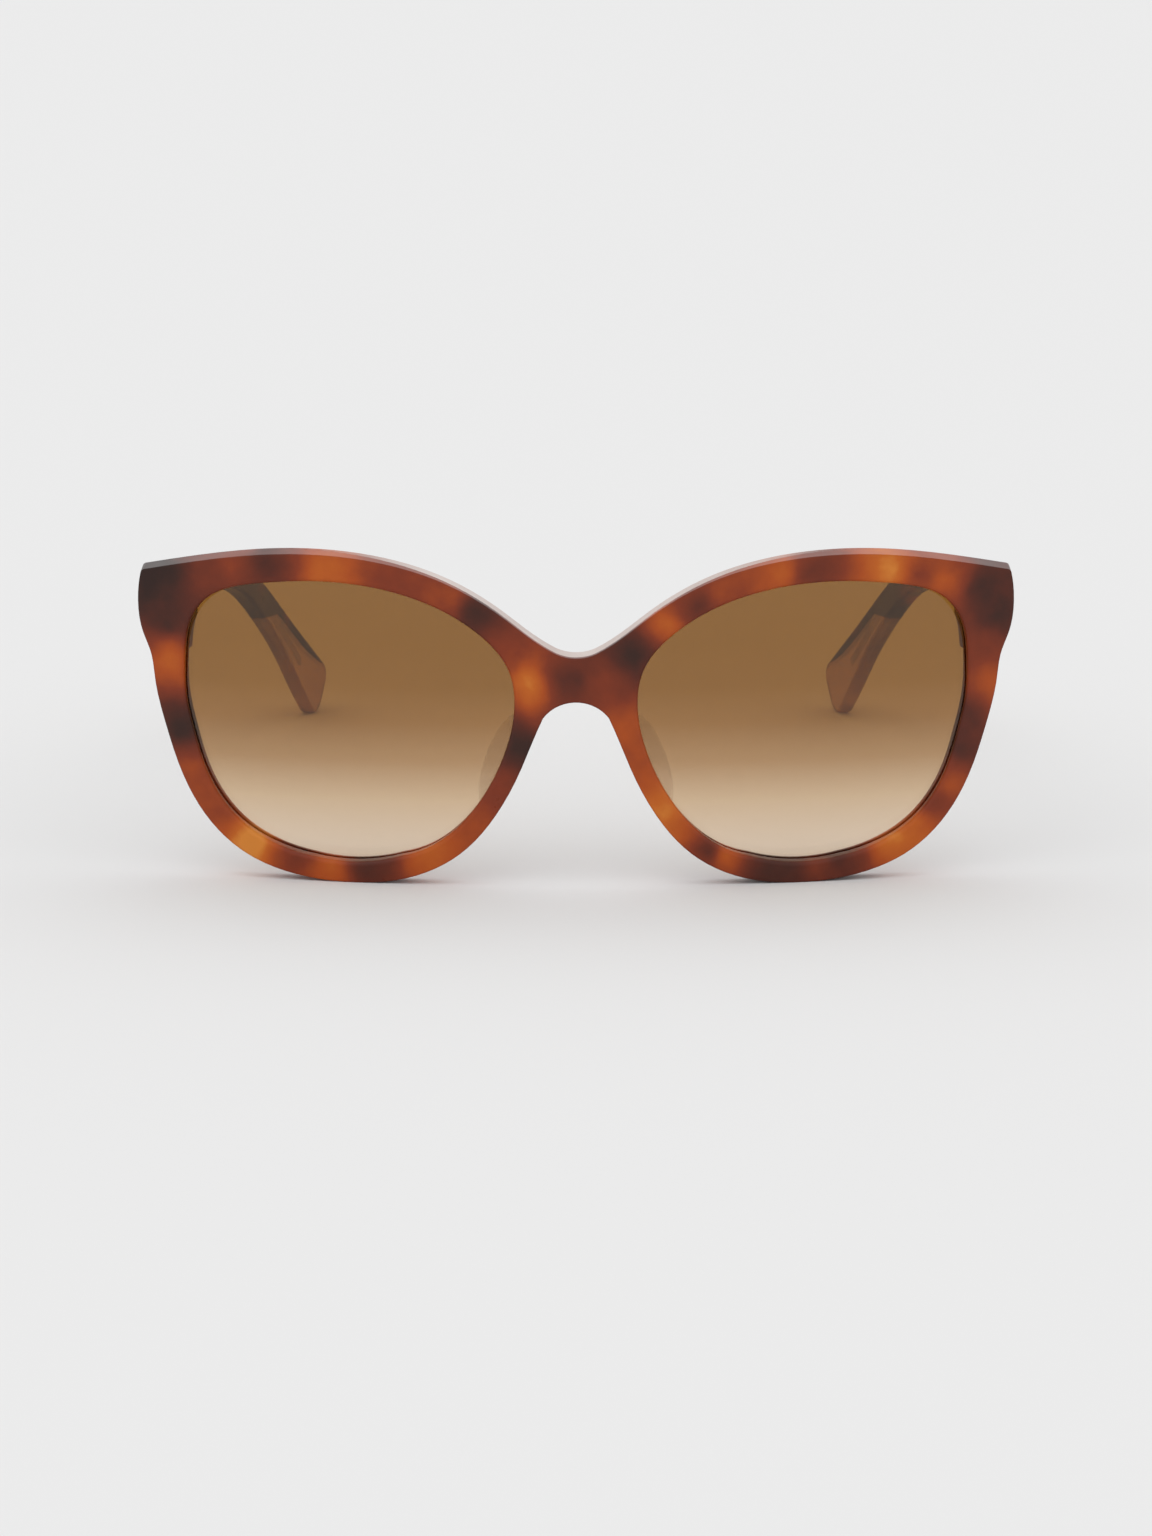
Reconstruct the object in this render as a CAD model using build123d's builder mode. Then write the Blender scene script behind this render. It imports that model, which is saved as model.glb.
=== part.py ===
from build123d import *

import math
import os

# Cat eye sunglasses that stand on a table with both temples open. Millimetres, +Z up.
# The front faces -Y, +X is the wearer's left, and the origin is under the middle of the object.
# "Left" and "right" are the wearer's own. Left pieces are modelled, and right ones mirrored.

# The front is a curved acetate sheet that leans forward at the top.
FRONT_Y = -72.65  # where the bridge's front face would meet the table
FRONT_LIFT = 0.15  # brings the lowest point of the rims down to the table
FRONT_LEAN = 4.0  # degrees
FRONT_RADIUS = 230.0  # of the face, across the width
FRONT_THICKNESS = 4.3
FRONT_STOCK = 26.0  # depth of the block that the front is cut from
FACE_ROUND = 0.6  # on the edges of the front face
TORTOISE_AT_BRIDGE = 1.0  # thickness of the tortoise sheet where the clear one is thickest
LAMINA_RADIUS = 140.0  # of the glued face between the two sheets
LAMINA_HALF_WIDTH = 58.0

# The lenses sit in a groove, each on its own slightly turned plane.
LENS_X = 36.8
LENS_V = 26.6
LENS_TURN = math.degrees(math.asin(LENS_X / FRONT_RADIUS))
LENS_RADIUS = 165.0
LENS_THICKNESS = 1.8
LENS_RECESS = 0.3  # of the lens's middle, behind the front face
LENS_OVERSIZE = 1.034  # the lens's edge reaches this much further than the opening's

# The nose pads are built up behind the nasal rims.
PAD_X = 11.8
PAD_V = 19.8
PAD_LEAN = -70.0  # degrees from +X
PAD_SECTIONS = [  # depth behind the face's plane, length, width and sideways splay
    (3.0, 16.5, 5.2, 0.0),
    (6.5, 16.0, 4.8, 0.5),
    (8.4, 13.4, 3.6, 0.9),
    (9.2, 9.0, 1.6, 1.1),
]

# The end pieces have a flat back, which the temples close against.
BUTT_Y = FRONT_Y + 13.0
END_PAD_X = 61.5  # the flat starts here
END_PAD_Z = 37.5
END_PAD_TOP = 49.0  # lower than the brow, so that the front hides it and the temple
BUTT_GAP = 0.1

# The temples are thin curved bars. Their faces are arcs that leave the butt straight backwards.
TEMPLE_INNER_X = 66.8
TEMPLE_THICKNESS = 3.8
INNER_ARC = 481.0
OUTER_ARC = 453.0
TEMPLE_ROUND = 0.7
CORE_START = 26.0  # distances behind the bridge's front face
CORE_END = 134.0
CORE_HEIGHT = 1.4
CORE_INNER_X = 68.15
CORE_THICKNESS = 1.1
CORE_INNER_ARC = 467.0
CORE_OUTER_ARC = 464.0

# The hinges have five barrels on an upright screw.
HINGE_X = 65.2
HINGE_Y = BUTT_Y + 1.7
HINGE_Z = 43.6
BARREL_RADIUS = 1.4
BARREL_HEIGHT = 1.25
BARREL_GAP = 0.05
BARREL_COUNT = 5
HINGE_HEIGHT = BARREL_COUNT * BARREL_HEIGHT + (BARREL_COUNT - 1) * BARREL_GAP
SCREW_RADIUS = 0.7
SCREW_CLEARANCE = 0.04
SCREW_HEAD_RADIUS = 1.15
SCREW_HEAD_HEIGHT = 0.6
SLOT_WIDTH = 0.35
SLOT_DEPTH = 0.3
LEAF_MARGIN = 0.15  # the leaves are this much taller than the barrels, at each end
LEAF_OVERLAP = 0.45  # of a barrel's web into the temple's leaf
LEAF_ROUND = 0.5
FRONT_LEAF_WIDTH = 3.2
FRONT_LEAF_SUNK = 1.8
FRONT_LEAF_PROUD = 0.25
TEMPLE_LEAF_START = 1.75  # behind the hinge's axis
TEMPLE_LEAF_LENGTH = 7.0
TEMPLE_LEAF_PROUD = 0.6
TEMPLE_LEAF_SUNK = 1.1

FAR = 200.0  # longer than the object, for cutting bodies


def front_point(x, v, depth):
    """A point given across, up and behind the front's own leaning plane."""
    return FRONT_PLANE.from_local_coords((x, v, -depth))


LEAN = math.radians(FRONT_LEAN)
FRONT_PLANE = Plane(
    origin=(0, FRONT_Y, FRONT_LIFT),
    x_dir=(1, 0, 0),
    z_dir=(0, -math.cos(LEAN), -math.sin(LEAN)),
)
SIDE_PLANE = Plane(origin=(0, FRONT_Y, 0), x_dir=(0, 1, 0), z_dir=(1, 0, 0))


def upright_plane(radius, depth):
    """The plane of a circle whose cylinder's foremost line lies this far behind the face."""
    return Plane(
        origin=front_point(0, -FAR / 2, depth + radius),
        x_dir=(1, 0, 0),
        z_dir=FRONT_PLANE.y_dir,
    )


def lens_plane():
    """The left lens's own plane, square to the curved face at the lens's middle."""
    turn = math.radians(LENS_TURN)
    sagitta = FRONT_RADIUS * (1 - math.cos(turn))
    across = FRONT_PLANE.x_dir * math.cos(turn) - FRONT_PLANE.z_dir * math.sin(turn)
    outward = FRONT_PLANE.z_dir * math.cos(turn) + FRONT_PLANE.x_dir * math.sin(turn)
    return Plane(origin=front_point(LENS_X, LENS_V, sagitta), x_dir=across, z_dir=outward)


LENS_PLANE = lens_plane()


def opening_outline():
    """The left lens opening, on the lens's own plane."""
    top = ThreePointArc((-4.0, 22.6), (3.4, 23.25), (10.0, 23.0))
    low = ThreePointArc((-8.4, -22.2), (-1.0, -23.5), (6.5, -22.85))
    Spline(
        top @ 1, (18.3, 21.8), (23.3, 19.6), (26.4, 15.4), (27.4, 9.0), (27.3, 3.0), (26.1, -2.8),
        (24.2, -9.2), (18.0, -18.0), (12.2, -21.3), low @ 1,
    )
    Spline(
        top @ 0, (-13.0, 20.1), (-20.5, 15.8), (-25.9, 9.4), (-26.8, 2.4), (-24.9, -5.5),
        (-20.4, -13.8), (-14.6, -19.6), low @ 0,
    )


# ---- the front's stock: outline, curve, lens openings and end pieces ----
with BuildPart() as face_curve:
    with BuildSketch(upright_plane(FRONT_RADIUS, 0)):
        Circle(FRONT_RADIUS)
    extrude(amount=FAR)

with BuildPart() as hollow_behind:
    with BuildSketch(upright_plane(FRONT_RADIUS - FRONT_THICKNESS, FRONT_THICKNESS)):
        Circle(FRONT_RADIUS - FRONT_THICKNESS)
    extrude(amount=FAR)
    for side, alignment in ((1, Align.MIN), (-1, Align.MAX)):
        with Locations((side * END_PAD_X, FRONT_Y, END_PAD_Z)):
            Box(FAR, FAR, END_PAD_TOP - END_PAD_Z,
                align=(alignment, Align.CENTER, Align.MIN), mode=Mode.SUBTRACT)

with BuildPart() as left_opening:
    with BuildSketch(LENS_PLANE):
        with BuildLine():
            opening_outline()
        make_face()
    extrude(amount=FRONT_STOCK, both=True)

with BuildPart() as front_stock:
    with BuildSketch(FRONT_PLANE.offset(1)):
        with BuildLine():
            saddle = ThreePointArc((-3.2, 38.8), (0, 38.1), (3.2, 38.8))
            brow = Spline(
                saddle @ 1, (7.2, 41.3), (12.0, 45.0), (21.6, 50.5), (31.2, 53.3), (40.9, 54.3),
                (50.6, 53.9), (60.5, 52.35), (69.95, 50.25),
            )
            corner = TangentArc(brow @ 1, (70.55, 49.55), tangent=brow % 1)
            arch = ThreePointArc((-5.3, 28.2), (0, 30.85), (5.3, 28.2))
            rim = Spline(
                corner @ 1, (71.05, 44.9), (70.4, 40.0), (69.1, 36.4), (68.5, 32.0), (66.9, 24.6),
                (64.4, 16.7), (60.0, 8.9), (54.3, 3.8), (46.0, 0.6), (36.7, -0.35), (28.9, 0.4),
                (19.1, 4.9), (12.1, 13.2), (9.3, 18.6), (7.1, 24.0), arch @ 1,
            )
            mirror(brow, about=Plane.YZ)
            mirror(corner, about=Plane.YZ)
            mirror(rim, about=Plane.YZ)
        make_face()
    extrude(amount=-FRONT_STOCK)
    add(face_curve.part, mode=Mode.INTERSECT)
    add(hollow_behind.part, mode=Mode.SUBTRACT)
    split(bisect_by=Plane(origin=(0, BUTT_Y, 0), z_dir=(0, 1, 0)), keep=Keep.BOTTOM)
    add(left_opening.part, mode=Mode.SUBTRACT)
    add(mirror(left_opening.part, about=Plane.YZ, mode=Mode.PRIVATE), mode=Mode.SUBTRACT)
    for opening_edges in front_stock.faces().filter_by(GeomType.CYLINDER).sort_by(Axis.Y)[0].inner_wires():
        fillet(opening_edges.edges(), radius=FACE_ROUND)


# ---- the clear sheet behind the bridge and brow ----
with BuildPart() as back_lamina:
    with BuildSketch(upright_plane(LAMINA_RADIUS, TORTOISE_AT_BRIDGE)):
        Circle(LAMINA_RADIUS)
    extrude(amount=FAR)
    with Locations((0, FRONT_Y, 0)):
        Box(2 * LAMINA_HALF_WIDTH, FAR, FAR, mode=Mode.INTERSECT)
    add(front_stock.part, mode=Mode.INTERSECT)

# ---- lenses ----
with BuildPart() as lens_left:
    with BuildSketch(LENS_PLANE):
        with BuildLine():
            opening_outline()
        make_face()
        scale(by=LENS_OVERSIZE)
    extrude(amount=FRONT_STOCK, both=True)
    with Locations(LENS_PLANE.from_local_coords((0, 0, -LENS_RECESS - LENS_RADIUS))):
        Sphere(LENS_RADIUS, mode=Mode.INTERSECT)
        Sphere(LENS_RADIUS - LENS_THICKNESS, mode=Mode.SUBTRACT)

with BuildPart() as lens_right:
    mirror(lens_left.part, about=Plane.YZ)

# ---- nose pads ----
with BuildPart() as nose_pad_left:
    for depth, length, width, splay in PAD_SECTIONS:
        with BuildSketch(FRONT_PLANE.offset(-depth)):
            with Locations(Location((PAD_X + splay, PAD_V), PAD_LEAN)):
                Ellipse(length / 2, width / 2)
    loft()
    with BuildSketch(upright_plane(FRONT_RADIUS - FRONT_THICKNESS, FRONT_THICKNESS)):
        Circle(FRONT_RADIUS - FRONT_THICKNESS)
    extrude(amount=FAR, mode=Mode.INTERSECT)

with BuildPart() as nose_pad_right:
    mirror(nose_pad_left.part, about=Plane.YZ)


# ---- hinges ----
def knuckle(index, towards):
    """One barrel of the left hinge with its web, which runs from the axis towards a leaf."""
    low = HINGE_Z - HINGE_HEIGHT / 2 + index * (BARREL_HEIGHT + BARREL_GAP)
    with Locations((HINGE_X, HINGE_Y, low)):
        Cylinder(BARREL_RADIUS, BARREL_HEIGHT, align=(Align.CENTER, Align.CENTER, Align.MIN))
        if towards == "front":
            Box(2 * BARREL_RADIUS, HINGE_Y - BUTT_Y, BARREL_HEIGHT,
                align=(Align.CENTER, Align.MAX, Align.MIN))
        else:
            Box(BARREL_RADIUS, TEMPLE_LEAF_START + LEAF_OVERLAP, BARREL_HEIGHT,
                align=(Align.MIN, Align.MIN, Align.MIN))


LEAF_HEIGHT = HINGE_HEIGHT + 2 * LEAF_MARGIN

with BuildPart() as front_hinge_leaf_left:
    with Locations((HINGE_X, BUTT_Y + FRONT_LEAF_PROUD, HINGE_Z)):
        Box(FRONT_LEAF_WIDTH, FRONT_LEAF_PROUD + FRONT_LEAF_SUNK, LEAF_HEIGHT,
            align=(Align.CENTER, Align.MAX, Align.CENTER))
    fillet(front_hinge_leaf_left.edges().filter_by(Axis.Y), radius=LEAF_ROUND)
    for index in range(0, BARREL_COUNT, 2):
        knuckle(index, "front")
    with Locations((HINGE_X, HINGE_Y, HINGE_Z)):
        Cylinder(SCREW_RADIUS, FAR, mode=Mode.SUBTRACT)

with BuildPart() as temple_hinge_leaf_left:
    with Locations((TEMPLE_INNER_X - TEMPLE_LEAF_PROUD, HINGE_Y + TEMPLE_LEAF_START, HINGE_Z)):
        Box(TEMPLE_LEAF_PROUD + TEMPLE_LEAF_SUNK, TEMPLE_LEAF_LENGTH, LEAF_HEIGHT,
            align=(Align.MIN, Align.MIN, Align.CENTER))
    fillet(temple_hinge_leaf_left.edges().filter_by(Axis.X), radius=LEAF_ROUND)
    for index in range(1, BARREL_COUNT, 2):
        knuckle(index, "temple")
    with Locations((HINGE_X, HINGE_Y, HINGE_Z)):
        Cylinder(SCREW_RADIUS + SCREW_CLEARANCE, FAR, mode=Mode.SUBTRACT)

with BuildPart() as hinge_screw_left:
    with Locations((HINGE_X, HINGE_Y, HINGE_Z - HINGE_HEIGHT / 2)):
        Cylinder(SCREW_RADIUS, HINGE_HEIGHT, align=(Align.CENTER, Align.CENTER, Align.MIN))
    with Locations((HINGE_X, HINGE_Y, HINGE_Z + HINGE_HEIGHT / 2)):
        Cylinder(SCREW_HEAD_RADIUS, SCREW_HEAD_HEIGHT, align=(Align.CENTER, Align.CENTER, Align.MIN))
    with Locations((HINGE_X, HINGE_Y, HINGE_Z + HINGE_HEIGHT / 2 + SCREW_HEAD_HEIGHT)):
        Box(SLOT_WIDTH, 2 * SCREW_HEAD_RADIUS, 2 * SLOT_DEPTH, mode=Mode.SUBTRACT)

with BuildPart() as front_hinge_leaf_right:
    mirror(front_hinge_leaf_left.part, about=Plane.YZ)
with BuildPart() as temple_hinge_leaf_right:
    mirror(temple_hinge_leaf_left.part, about=Plane.YZ)
with BuildPart() as hinge_screw_right:
    mirror(hinge_screw_left.part, about=Plane.YZ)

# ---- the tortoise front: the stock without the clear sheet, the grooves and the hinge seats ----
with BuildPart() as front_rim:
    add(front_stock.part)
    for inset in (back_lamina, lens_left, lens_right, front_hinge_leaf_left, front_hinge_leaf_right):
        add(inset.part, mode=Mode.SUBTRACT)

with BuildPart() as clear_back:
    add(back_lamina.part)
    add(lens_left.part, mode=Mode.SUBTRACT)
    add(lens_right.part, mode=Mode.SUBTRACT)


# ---- temples, with their champagne tips and core wires ----
def between_arcs(inner_x, inner_radius, outer_x, outer_radius):
    """Keep what lies between two upright arcs that leave the butt straight backwards."""
    with BuildSketch(Plane.XY.offset(-FAR / 2)) as crescent:
        with Locations((outer_x - outer_radius, BUTT_Y)):
            Circle(outer_radius)
        with Locations((inner_x - inner_radius, BUTT_Y)):
            Circle(inner_radius, mode=Mode.SUBTRACT)
    extrude(crescent.sketch, amount=FAR, mode=Mode.INTERSECT)


BUTT_END = BUTT_Y - FRONT_Y + BUTT_GAP

with BuildPart() as arm_stock:
    with BuildSketch(SIDE_PLANE):
        with BuildLine():
            top = Spline(
                (BUTT_END, END_PAD_TOP), (30.0, 46.9), (50.0, 43.9), (70.0, 40.9), (88.0, 38.0),
                (98.0, 35.9), (111.9, 30.0), (128.8, 20.0), (142.5, 11.5), (146.3, 9.0),
            )
            ThreePointArc((146.3, 9.0), (148.0, 7.2), (147.7, 4.8))
            Line((147.7, 4.8), (145.2, 1.5))
            foot = ThreePointArc((145.2, 1.5), (142.0, 0.0), (139.0, 1.2))
            low = Spline(
                foot @ 1, (132.7, 6.9), (126.6, 12.6), (110.6, 24.1), (98.0, 30.6), (80.0, 35.0),
                (50.0, 38.1), (BUTT_END, 39.8),
            )
            Line(low @ 1, top @ 0)
        make_face()
    extrude(amount=FAR)
    between_arcs(TEMPLE_INNER_X, INNER_ARC, TEMPLE_INNER_X + TEMPLE_THICKNESS, OUTER_ARC)
    butt_face = arm_stock.faces().sort_by(Axis.Y)[0]
    across = arm_stock.edges().filter_by(lambda edge: abs(edge.tangent_at(0.5).X) > 0.9)
    fillet(arm_stock.edges() - butt_face.edges() - across, radius=TEMPLE_ROUND)

with BuildPart() as core_wire_left:
    with BuildSketch(SIDE_PLANE):
        with BuildLine():
            middle = Spline(
                (CORE_START, 43.4), (50.0, 41.0), (70.0, 38.4), (88.0, 36.0), (98.0, 33.3),
                (111.9, 26.6), (120.7, 20.9), (CORE_END, 11.2),
            )
        trace(middle, line_width=CORE_HEIGHT)
    extrude(amount=FAR)
    between_arcs(CORE_INNER_X, CORE_INNER_ARC, CORE_INNER_X + CORE_THICKNESS, CORE_OUTER_ARC)

with BuildPart() as temple_tip_left:
    with BuildSketch(SIDE_PLANE):
        with BuildLine():
            cut = Line((104.0, 24.6), (118.7, 23.2))
            joint = Spline(cut @ 1, (128.1, 17.8), (140.1, 11.0), (150.0, 7.4))
            Polyline(joint @ 1, (152.0, -5.0), (104.0, -5.0), cut @ 0)
        make_face()
    extrude(amount=FAR)
    add(arm_stock.part, mode=Mode.INTERSECT)
    add(core_wire_left.part, mode=Mode.SUBTRACT)

with BuildPart() as temple_left:
    add(arm_stock.part)
    add(temple_tip_left.part, mode=Mode.SUBTRACT)
    add(core_wire_left.part, mode=Mode.SUBTRACT)
    add(temple_hinge_leaf_left.part, mode=Mode.SUBTRACT)

with BuildPart() as temple_right:
    mirror(temple_left.part, about=Plane.YZ)
with BuildPart() as temple_tip_right:
    mirror(temple_tip_left.part, about=Plane.YZ)
with BuildPart() as core_wire_right:
    mirror(core_wire_left.part, about=Plane.YZ)

# ---- one file for each piece ----
PIECES = {
    "front_rim": front_rim,
    "back_lamina": clear_back,
    "lens_left": lens_left,
    "lens_right": lens_right,
    "nose_pad_left": nose_pad_left,
    "nose_pad_right": nose_pad_right,
    "front_hinge_leaf_left": front_hinge_leaf_left,
    "front_hinge_leaf_right": front_hinge_leaf_right,
    "temple_hinge_leaf_left": temple_hinge_leaf_left,
    "temple_hinge_leaf_right": temple_hinge_leaf_right,
    "hinge_screw_left": hinge_screw_left,
    "hinge_screw_right": hinge_screw_right,
    "temple_left": temple_left,
    "temple_right": temple_right,
    "temple_tip_left": temple_tip_left,
    "temple_tip_right": temple_tip_right,
    "core_wire_left": core_wire_left,
    "core_wire_right": core_wire_right,
}
os.makedirs("parts", exist_ok=True)
for name, piece in PIECES.items():
    piece.part.label = name
    export_step(piece.part, f"parts/{name}.step")
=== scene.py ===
import math

import bpy
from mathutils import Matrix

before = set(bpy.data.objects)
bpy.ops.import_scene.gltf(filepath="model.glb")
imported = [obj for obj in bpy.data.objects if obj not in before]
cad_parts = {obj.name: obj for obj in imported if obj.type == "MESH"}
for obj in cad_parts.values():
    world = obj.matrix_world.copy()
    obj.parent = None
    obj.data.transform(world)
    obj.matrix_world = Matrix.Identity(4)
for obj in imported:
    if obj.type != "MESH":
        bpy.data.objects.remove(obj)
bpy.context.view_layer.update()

# The camera looks slightly down on the glasses from in front of them.
CAMERA_PLACE = (0.0, -0.8727, 0.1921)
CAMERA_TILT = math.radians(77.84)
CAMERA_LENS_MM = 118.6
CAMERA_SENSOR_MM = 36.0
CAMERA_REACH = 20.0

# The studio: a pale floor in a pale surround that is brighter overhead.
SURROUND = 0.83
OVERHEAD = 1.16
BRIGHTER_FROM = 0.25  # the upward part of a direction, where 1 is straight up
BRIGHTER_TO = 0.95
FLOOR_WHITE = 0.776
FLOOR_RADIUS = 3.0
FLOOR_SIDES = 96
SUN_STRENGTH = 0.16
SUN_SPREAD = math.radians(50)
SUN_TURN = (math.radians(28), math.radians(-18), 0.0)
WHITE = (1, 1, 1, 1)

# A noise seldom leaves this range, and it varies about its middle.
NOISE_LOW = 0.3
NOISE_HIGH = 0.7
NOISE_MIDDLE = 0.5

# Cellulose acetate, polished by hand. Each satin is a middle roughness.
ACETATE_IOR = 1.49
TORTOISE_SHEEN = 0.27
TORTOISE_SATIN = 0.32
CHAMPAGNE_SATIN = 0.22
PAD_SATIN = 0.16
SMEAR_GLOSS = 0.05
SMEAR_DULLNESS = 0.06
POLISH_LAY = (1.0, 1.0, 0.25)
POLISH_STRENGTH = 0.06
POLISH_DEPTH = 0.00005
EDGE_EASE = 0.0005  # radius of the edges' polished look, in metres
EDGE_SAMPLES = 8

# Tones of the tortoise sheet, from honey through red-brown to near black.
TORTOISE_TONES = (
    (0.00, (0.660, 0.225, 0.030, 1)),
    (0.12, (0.530, 0.120, 0.010, 1)),
    (0.30, (0.410, 0.070, 0.007, 1)),
    (0.50, (0.225, 0.034, 0.009, 1)),
    (0.75, (0.098, 0.018, 0.008, 1)),
    (0.92, (0.042, 0.013, 0.008, 1)),
    (1.00, (0.028, 0.010, 0.007, 1)),
)

# Patches of the front's sheet: across and up in millimetres, then the tone.
FRONT_PATCHES = (
    (-68, 50, 0.96), (-66, 43, 0.84), (-66, 36, 0.26), (-64, 25, 0.88), (-63, 18, 0.42),
    (-58, 11, 0.46), (-52, 6, 0.00), (-46, 4, 0.60), (-40, 2, 0.26), (-34, 2, 0.78),
    (-23, 5, 0.26), (-16, 10, 0.42), (-12, 17, 0.55), (-9, 24, 0.90), (-55, 53, 0.48),
    (-59, 51, 0.62), (-50, 53, 0.78), (-40, 52, 0.24), (-30, 51, 0.52), (-20, 47, 0.42),
    (-16, 45, 0.86), (-11, 39, 0.50), (-8, 34, 0.14), (0, 34, 0.76), (5, 34, 0.55),
    (9, 39, 0.88), (15, 44, 0.26), (20, 47, 0.72), (23, 49, 0.42), (34, 52, 0.28),
    (38, 52, 0.68), (51, 52, 0.08), (55, 51, 0.55), (60, 50, 0.30), (66, 49, 0.86),
    (69, 44, 0.84), (66, 38, 0.58), (67, 32, 0.34), (64, 27, 0.76), (63, 22, 0.80),
    (62, 16, 0.38), (59, 13, 0.58), (55, 8, 0.24), (52, 7, 0.14), (43, 3, 0.76),
    (39, 2, 0.58), (35, 2, 0.82), (31, 2, 0.84), (24, 5, 0.26), (21, 6, 0.74),
    (16, 8, 0.26), (14, 12, 0.14), (8, 27, 0.34),
)
MM_IN_CM = 10.0
CM_IN_M = 100.0
PATCH_FALL = -3.0  # how fast a patch's pull falls with distance
PATCH_CORE_CM = 0.18  # softens the middle of each patch
PATCH_WANDER_CM = 0.4  # how far the patches' outlines stray
PATCH_CONTRAST = 1.2
PATCH_LIFT = 0.11
FRONT_MOTTLE = 0.16

# The temples' sheet is darker, with streaks along the arm.
TEMPLE_LAY = (1.0, 0.55, 1.0)
STREAK_FROM = 0.32
STREAK_TO = 0.52
TEMPLE_LIGHTEST = 0.40
TEMPLE_DARKEST = 1.0
TEMPLE_MOTTLE = 0.2

# The pale sheet behind the bridge gives way to the tortoise sideways, in metres from
# the middle. Low on the rims, by height, the tortoise colour painted on it is painted shade of the
# groove.
SIDEWAYS = (1.0, 0.0, 0.0)
MIDDLE = (0.0, 0.0, 0.0)
PALE_LIGHT = (0.66, 0.57, 0.53, 1)
PALE_DEEP = (0.56, 0.46, 0.42, 1)
PALE_MOST = 0.94
PALE_FROM = 0.022
PALE_TO = 0.046
PAINTED_SHADE_FULL_BELOW = 0.014
PAINTED_SHADE_GONE_ABOVE = 0.028

# The clear nose pads and the champagne temple tips.
PAD_LIGHT = (0.86, 0.76, 0.66, 1)
PAD_DEEP = (0.74, 0.62, 0.52, 1)
PAD_THINNEST = 0.10
PAD_THICKEST = 0.16
CHAMPAGNE_LIGHT = (0.79, 0.51, 0.29, 1)
CHAMPAGNE_DEEP = (0.65, 0.37, 0.19, 1)
CHAMPAGNE_LAY = (1.0, 0.5, 1.0)
CHAMPAGNE_FROM = 0.32
CHAMPAGNE_TO = 0.68
CHAMPAGNE_CLEAR = 0.72

# The lens tint, by height above the floor in metres: dark to the middle, then fading out.
LENS_TINT = (
    (0.0060, (0.960, 0.790, 0.610, 1)),
    (0.0138, (0.765, 0.560, 0.362, 1)),
    (0.0205, (0.510, 0.305, 0.146, 1)),
    (0.0271, (0.367, 0.183, 0.059, 1)),
    (0.0330, (0.300, 0.137, 0.030, 1)),
    (0.0400, (0.288, 0.129, 0.024, 1)),
)
LENS_IOR = 1.5
LENS_SMEAR_FROM = 0.35
LENS_SMEAR_TO = 0.75
LENS_SMEAR_MOST = 0.03

# The metals: colour and middle roughness, and the way that the grain lies.
HINGE_STEEL = (0.60, 0.58, 0.55)
HINGE_SATIN = 0.28
HINGE_LAY = (1.0, 0.2, 1.0)
SCREW_STEEL = (0.66, 0.65, 0.62)
SCREW_SATIN = 0.22
SCREW_LAY = (1.0, 1.0, 0.1)
WIRE_STEEL = (0.50, 0.49, 0.47)
WIRE_SATIN = 0.34
WIRE_LAY = (1.0, 0.08, 1.0)
WEAR_FROM = 0.35
WEAR_TO = 0.65
WORN_TONE = 0.85
GRAIN_GLOSS = 0.07
GRAIN_DULLNESS = 0.09
GRAIN_STRENGTH = 0.12
GRAIN_DEPTH = 0.00004

# A Mix node's colour sockets by number, because its values of every kind share their names.
MIX_FACTOR = 0
MIX_FIRST = 6
MIX_SECOND = 7
MIX_RESULT = 2


class Signal:
    """A shader socket in a Python expression: each operation adds its Math node."""

    def __init__(self, recipe, socket):
        self.recipe = recipe
        self.socket = socket

    def maths(self, operation, first, second):
        """Adds the Math node of one operation."""
        return self.recipe.node("ShaderNodeMath", {"operation": operation}, {0: first, 1: second})

    def __add__(self, other):
        return self.maths("ADD", self, other)

    def __radd__(self, other):
        return self.maths("ADD", other, self)

    def __sub__(self, other):
        return self.maths("SUBTRACT", self, other)

    def __rsub__(self, other):
        return self.maths("SUBTRACT", other, self)

    def __mul__(self, other):
        return self.maths("MULTIPLY", self, other)

    def __rmul__(self, other):
        return self.maths("MULTIPLY", other, self)

    def __truediv__(self, other):
        return self.maths("DIVIDE", self, other)

    def __rtruediv__(self, other):
        return self.maths("DIVIDE", other, self)

    def __pow__(self, other):
        return self.maths("POWER", self, other)

    def __rpow__(self, other):
        return self.maths("POWER", other, self)


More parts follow.
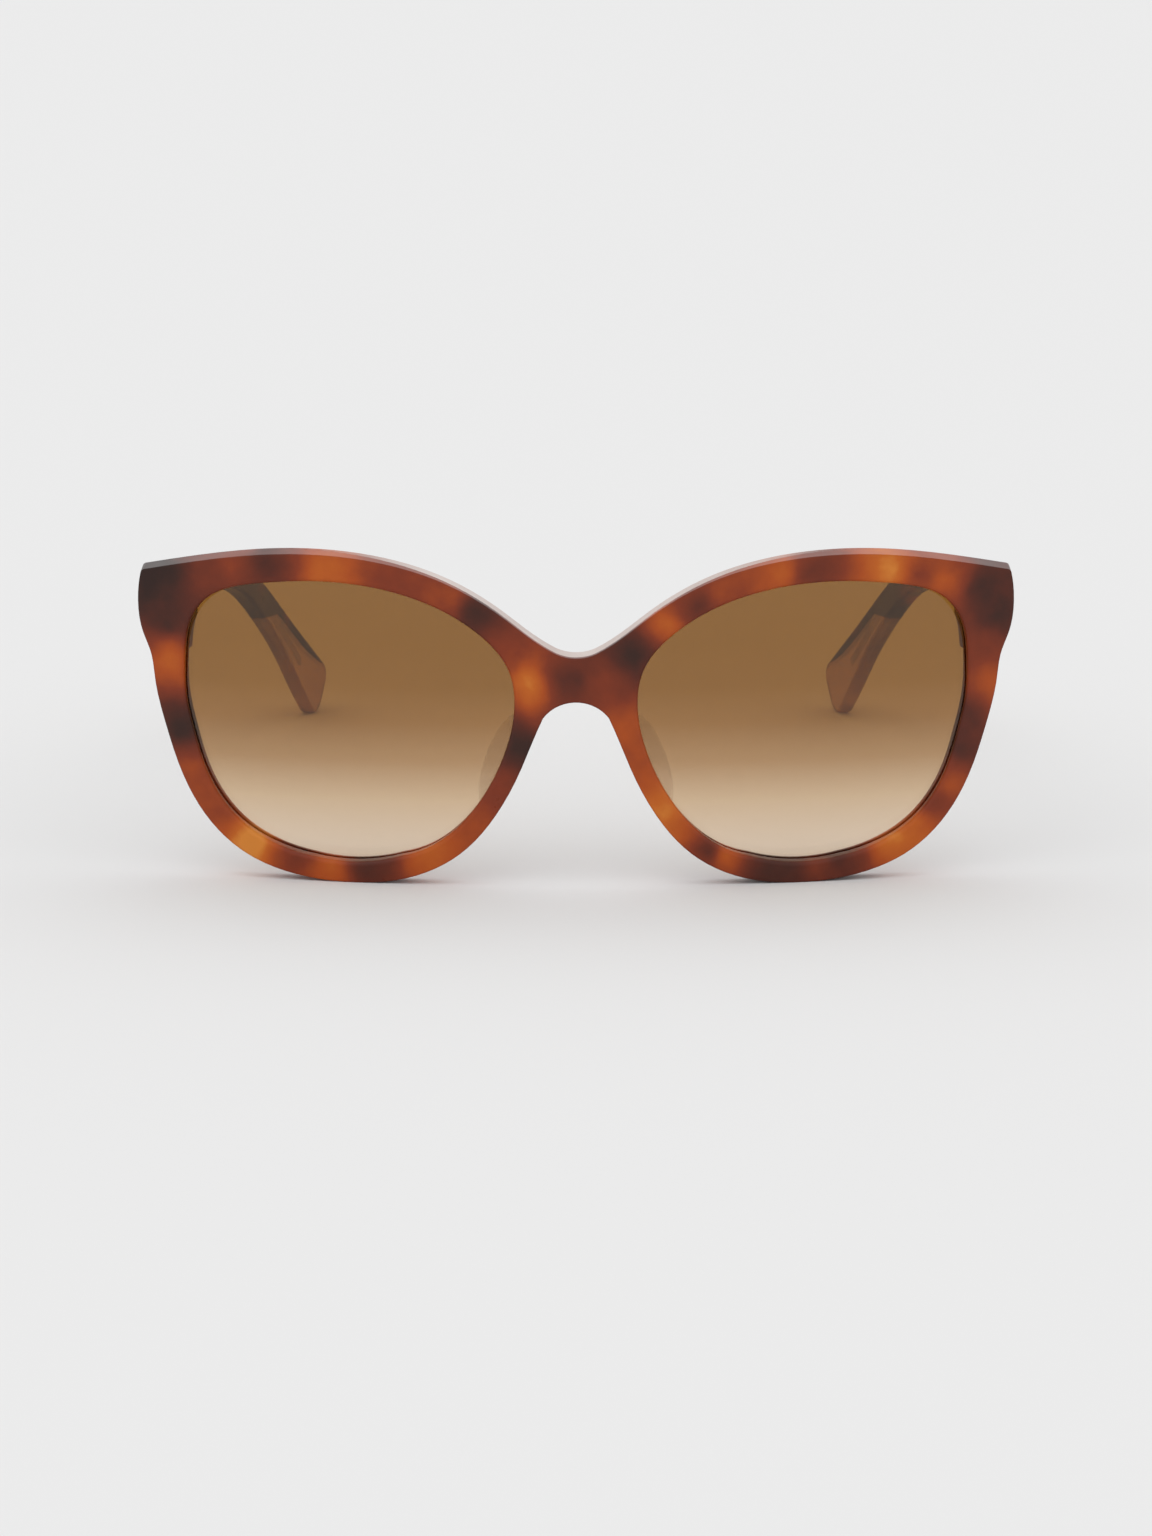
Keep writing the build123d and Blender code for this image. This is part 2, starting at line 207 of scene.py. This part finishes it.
class Recipe:
    """The node tree of one material, or of the surround."""

    def __init__(self, owner):
        owner.use_nodes = True
        self.owner = owner
        self.tree = owner.node_tree
        self.tree.nodes.clear()

    def node(self, kind, settings=None, inputs=None, output=0):
        """Adds a node, its settings first and then the values or links of its sockets."""
        made = self.tree.nodes.new(kind)
        for name, value in (settings or {}).items():
            if name == "stops":
                fill_ramp(made.color_ramp, value)
            else:
                setattr(made, name, value)
        for name, value in (inputs or {}).items():
            if isinstance(value, Signal):
                self.tree.links.new(value.socket, made.inputs[name])
            else:
                made.inputs[name].default_value = value
        return Signal(self, made.outputs[output]) if made.outputs else None

    def place(self):
        """Where a point of the piece is, in metres."""
        return self.node("ShaderNodeTexCoord", output="Object")

    def vector(self, operation, first, second, output="Vector"):
        """Works on two vectors, such as a place and a stretch."""
        inputs = {0: first, 1: second}
        return self.node("ShaderNodeVectorMath", {"operation": operation}, inputs, output)

    def upward(self, vector):
        """The upward part of a vector, which is the height of a place."""
        return self.node("ShaderNodeSeparateXYZ", {}, {"Vector": vector}, "Z")

    def noise(self, where, scale, detail, roughness=0.5, output="Fac"):
        """A soft random pattern. Its scale is in patches to the metre."""
        values = {"Vector": where, "Scale": scale, "Detail": detail, "Roughness": roughness}
        return self.node("ShaderNodeTexNoise", {}, values, output)

    def ramp(self, factor, stops):
        """The colour at a factor's place among these stops."""
        return self.node("ShaderNodeValToRGB", {"stops": stops}, {"Fac": factor})

    def between(self, value, low, high, to_low=0.0, to_high=1.0, shape="LINEAR"):
        """Maps a value from one range to another and holds it there."""
        values = {
            "Value": value,
            "From Min": low,
            "From Max": high,
            "To Min": to_low,
            "To Max": to_high,
        }
        return self.node("ShaderNodeMapRange", {"interpolation_type": shape}, values)

    def blend(self, factor, first, second):
        """Mixes two colours: a factor of 0 gives the first and 1 the second."""
        inputs = {MIX_FACTOR: factor, MIX_FIRST: first, MIX_SECOND: second}
        return self.node("ShaderNodeMix", {"data_type": "RGBA"}, inputs, MIX_RESULT)

    def bump(self, height, strength, distance, under=None):
        """Raises a fine pattern on the surface, or on the normal that is under it."""
        values = {"Height": height, "Strength": strength, "Distance": distance}
        if under is not None:
            values["Normal"] = under
        return self.node("ShaderNodeBump", {}, values)

    def finish(self, values):
        """Ends the tree in the surface shader with these values and returns the material."""
        surface = self.node("ShaderNodeBsdfPrincipled", {}, values)
        self.node("ShaderNodeOutputMaterial", {}, {"Surface": surface})
        return self.owner


def new_recipe(name):
    """A recipe for a new material."""
    return Recipe(bpy.data.materials.new(name))


def fill_ramp(ramp, stops):
    """Puts a ramp's stops at their places."""
    while len(ramp.elements) < len(stops):
        ramp.elements.new(1.0)
    for element, (place, colour) in zip(ramp.elements, stops):
        element.position = place
        element.color = colour


def eased_edges(recipe):
    """The normal of a surface whose sharp edges look polished round."""
    return recipe.node("ShaderNodeBevel", {"samples": EDGE_SAMPLES}, {"Radius": EDGE_EASE})


def hand_polish(recipe, where, satin, edges=None):
    """Roughness with faint smears and a bump of fine polishing lines, laid over the edges."""
    smears = recipe.noise(where, scale=90.0, detail=4.0, roughness=0.6)
    lines = recipe.noise(recipe.vector("MULTIPLY", where, POLISH_LAY), scale=2600.0, detail=2.0)
    glossy = satin - SMEAR_GLOSS
    dull = satin + SMEAR_DULLNESS
    roughness = recipe.between(smears, NOISE_LOW, NOISE_HIGH, glossy, dull)
    return roughness, recipe.bump(lines, POLISH_STRENGTH, POLISH_DEPTH, edges)


def patch_tone(recipe, where, patches):
    """The tone at a point, drawn from the nearest patches of the sheet."""
    total = 0.0
    weights = 0.0
    for across, up, tone in patches:
        centre = (across / MM_IN_CM, 0.0, up / MM_IN_CM)
        distance = recipe.vector("DISTANCE", where, centre, "Value")
        weight = (distance + PATCH_CORE_CM) ** PATCH_FALL
        total = weight * tone + total
        weights = weight + weights
    return total / weights


def stray(recipe, where):
    """A small sideways step that differs from place to place, in centimetres."""
    clouds = recipe.noise(where, scale=130.0, detail=1.5, roughness=0.4, output="Color")
    middle = (NOISE_MIDDLE, NOISE_MIDDLE, NOISE_MIDDLE)
    step = recipe.vector("SUBTRACT", clouds, middle)
    return recipe.vector("MULTIPLY", step, (PATCH_WANDER_CM, 0.0, PATCH_WANDER_CM))


def front_pattern(recipe, where):
    """The tortoise colour at a point of the front, with its patches where they lie on the rims."""
    flat = recipe.vector("MULTIPLY", where, (CM_IN_M, 0.0, CM_IN_M))
    strayed = recipe.vector("ADD", flat, stray(recipe, where))
    tone = patch_tone(recipe, strayed, FRONT_PATCHES) * PATCH_CONTRAST - PATCH_LIFT
    mottle = recipe.noise(where, scale=380.0, detail=3.0) - NOISE_MIDDLE
    return recipe.ramp(tone + mottle * FRONT_MOTTLE, TORTOISE_TONES)


def tortoise_surface(recipe, where, colour, edges=None):
    """Satin polished tortoise acetate."""
    roughness, normal = hand_polish(recipe, where, TORTOISE_SATIN, edges)
    return recipe.finish({
        "Base Color": colour,
        "Roughness": roughness,
        "Normal": normal,
        "IOR": ACETATE_IOR,
        "Specular IOR Level": TORTOISE_SHEEN,
    })


def tortoise_front():
    """Tortoise sheet of the front."""
    recipe = new_recipe("front_tortoise")
    where = recipe.place()
    return tortoise_surface(recipe, where, front_pattern(recipe, where), eased_edges(recipe))


def tortoise_temple():
    """Tortoise sheet of the temples, mostly dark with streaks along the arm."""
    recipe = new_recipe("temple_tortoise")
    where = recipe.place()
    along = recipe.vector("MULTIPLY", where, TEMPLE_LAY)
    streaks = recipe.noise(along, scale=95.0, detail=2.0, roughness=0.45)
    mottle = recipe.noise(where, scale=420.0, detail=4.0, roughness=0.6) - NOISE_MIDDLE
    tone = recipe.between(
        streaks, STREAK_FROM, STREAK_TO, TEMPLE_LIGHTEST, TEMPLE_DARKEST, "SMOOTHSTEP"
    )
    colour = recipe.ramp(tone + mottle * TEMPLE_MOTTLE, TORTOISE_TONES)
    return tortoise_surface(recipe, where, colour, eased_edges(recipe))


def pale_back_with_painted_shade():
    """Milky pale acetate behind the bridge and brow. Sideways it gives way to the tortoise colour,
    and low on the rims the tortoise colour is painted shade of the groove.
    """
    recipe = new_recipe("back_lamina")
    where = recipe.place()
    smoke = recipe.noise(where, scale=90.0, detail=3.0, roughness=0.55)
    pale = recipe.ramp(smoke, ((NOISE_LOW, PALE_LIGHT), (NOISE_HIGH, PALE_DEEP)))
    across = recipe.vector("MULTIPLY", where, SIDEWAYS)
    outward = recipe.vector("DISTANCE", across, MIDDLE, "Value")
    spread = recipe.between(outward, PALE_FROM, PALE_TO, PALE_MOST, 0.0, "SMOOTHSTEP")
    # Low on the rims the tortoise colour stands in for painted shade of the groove.
    above_painted_shade = recipe.between(recipe.upward(where), PAINTED_SHADE_FULL_BELOW, PAINTED_SHADE_GONE_ABOVE, shape="SMOOTHSTEP")
    colour = recipe.blend(spread * above_painted_shade, front_pattern(recipe, where), pale)
    return tortoise_surface(recipe, where, colour)


def clear_pad():
    """Crystal acetate of the nose pads, nearly invisible from in front."""
    recipe = new_recipe("pad_crystal")
    where = recipe.place()
    smoke = recipe.noise(where, scale=160.0, detail=3.0)
    roughness, normal = hand_polish(recipe, where, PAD_SATIN, eased_edges(recipe))
    return recipe.finish({
        "Base Color": recipe.ramp(smoke, ((NOISE_LOW, PAD_LIGHT), (NOISE_HIGH, PAD_DEEP))),
        "Roughness": roughness,
        "Normal": normal,
        "IOR": ACETATE_IOR,
        "Alpha": recipe.between(smoke, NOISE_LOW, NOISE_HIGH, PAD_THINNEST, PAD_THICKEST),
    })


def champagne():
    """Honey-pink translucent acetate of the temple tips."""
    recipe = new_recipe("champagne_acetate")
    where = recipe.place()
    along = recipe.vector("MULTIPLY", where, CHAMPAGNE_LAY)
    clouds = recipe.noise(along, scale=85.0, detail=3.0)
    stops = ((CHAMPAGNE_FROM, CHAMPAGNE_LIGHT), (CHAMPAGNE_TO, CHAMPAGNE_DEEP))
    roughness, normal = hand_polish(recipe, where, CHAMPAGNE_SATIN, eased_edges(recipe))
    return recipe.finish({
        "Base Color": recipe.ramp(clouds, stops),
        "Roughness": roughness,
        "Normal": normal,
        "IOR": ACETATE_IOR,
        "Transmission Weight": CHAMPAGNE_CLEAR,
    })


def tinted_lens():
    """Brown gradient lens: the tint follows the height, with a trace of cleaning smears."""
    recipe = new_recipe("gradient_lens")
    where = recipe.place()
    lowest = LENS_TINT[0][0]
    span = LENS_TINT[-1][0] - lowest
    stops = tuple(((up - lowest) / span, colour) for up, colour in LENS_TINT)
    height = recipe.between(recipe.upward(where), lowest, lowest + span)
    smears = recipe.noise(where, scale=60.0, detail=5.0, roughness=0.6)
    roughness = recipe.between(smears, LENS_SMEAR_FROM, LENS_SMEAR_TO, 0.0, LENS_SMEAR_MOST)
    return recipe.finish({
        "Base Color": recipe.ramp(height, stops),
        "Roughness": roughness,
        "IOR": LENS_IOR,
        "Transmission Weight": 1.0,
    })


def steel(name, colour, satin, lay):
    """Metal with a drawn or turned grain that lies along one direction."""
    recipe = new_recipe(name)
    where = recipe.place()
    along = recipe.vector("MULTIPLY", where, lay)
    grain = recipe.noise(along, scale=900.0, detail=4.0, roughness=0.6)
    wear = recipe.between(recipe.noise(where, scale=500.0, detail=3.0), WEAR_FROM, WEAR_TO)
    worn = tuple(WORN_TONE * part for part in colour)
    glossy = satin - GRAIN_GLOSS
    dull = satin + GRAIN_DULLNESS
    return recipe.finish({
        "Base Color": recipe.blend(wear, (*colour, 1), (*worn, 1)),
        "Metallic": 1.0,
        "Roughness": recipe.between(grain, NOISE_LOW, NOISE_HIGH, glossy, dull),
        "Normal": recipe.bump(grain, GRAIN_STRENGTH, GRAIN_DEPTH),
    })


def hinge_metal():
    """Drawn strip of the hinge leaves."""
    return steel("hinge_steel", HINGE_STEEL, HINGE_SATIN, HINGE_LAY)


def screw_metal():
    """Turned steel of the hinge screws."""
    return steel("screw_steel", SCREW_STEEL, SCREW_SATIN, SCREW_LAY)


def wire_metal():
    """Drawn flat wire inside the arms."""
    return steel("core_wire", WIRE_STEEL, WIRE_SATIN, WIRE_LAY)


def dress(material, *nodes):
    """Puts a material on every slot of these pieces."""
    for name in nodes:
        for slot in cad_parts[name].material_slots:
            slot.material = material


def both(name):
    """A piece's left and right node."""
    return f"{name}_left", f"{name}_right"


def make_floor():
    """A pale round floor under the glasses."""
    bpy.ops.mesh.primitive_circle_add(
        vertices=FLOOR_SIDES, radius=FLOOR_RADIUS, fill_type="NGON"
    )
    floor = bpy.context.object
    floor.name = "studio_floor"
    floor.data.materials.append(new_recipe("studio_white").finish({
        "Base Color": (FLOOR_WHITE, FLOOR_WHITE, FLOOR_WHITE, 1),
        "Roughness": 1.0,
        "Specular IOR Level": 0.0,
    }))


def pale_surround():
    """An even pale surround that brightens overhead."""
    world = bpy.data.worlds.new("studio_surround")
    recipe = Recipe(world)
    way = recipe.node("ShaderNodeTexCoord", output="Generated")
    upward = recipe.upward(way)
    strength = recipe.between(
        upward, BRIGHTER_FROM, BRIGHTER_TO, SURROUND, OVERHEAD, "SMOOTHSTEP"
    )
    sky = recipe.node("ShaderNodeBackground", {}, {"Color": WHITE, "Strength": strength})
    recipe.node("ShaderNodeOutputWorld", {}, {"Surface": sky})
    bpy.context.scene.world = world


def soft_key():
    """One wide soft key light."""
    key = bpy.data.lights.new("soft_key", "SUN")
    key.energy = SUN_STRENGTH
    key.angle = SUN_SPREAD
    lamp = bpy.data.objects.new("soft_key", key)
    lamp.rotation_euler = SUN_TURN
    bpy.context.scene.collection.objects.link(lamp)


def place_camera():
    """The camera in front of the glasses, with a long lens."""
    camera = bpy.data.cameras.new("camera")
    camera.lens = CAMERA_LENS_MM
    camera.sensor_width = CAMERA_SENSOR_MM
    camera.clip_end = CAMERA_REACH
    stand = bpy.data.objects.new("camera", camera)
    stand.location = CAMERA_PLACE
    stand.rotation_euler = (CAMERA_TILT, 0.0, 0.0)
    bpy.context.scene.collection.objects.link(stand)
    bpy.context.scene.camera = stand


bpy.context.scene.view_settings.view_transform = "Standard"
place_camera()
pale_surround()
soft_key()
make_floor()
dress(tortoise_front(), "front_rim")
dress(tortoise_temple(), *both("temple"))
dress(pale_back_with_painted_shade(), "back_lamina")
dress(champagne(), *both("temple_tip"))
dress(clear_pad(), *both("nose_pad"))
dress(tinted_lens(), *both("lens"))
dress(hinge_metal(), *both("front_hinge_leaf"), *both("temple_hinge_leaf"))
dress(screw_metal(), *both("hinge_screw"))
dress(wire_metal(), *both("core_wire"))
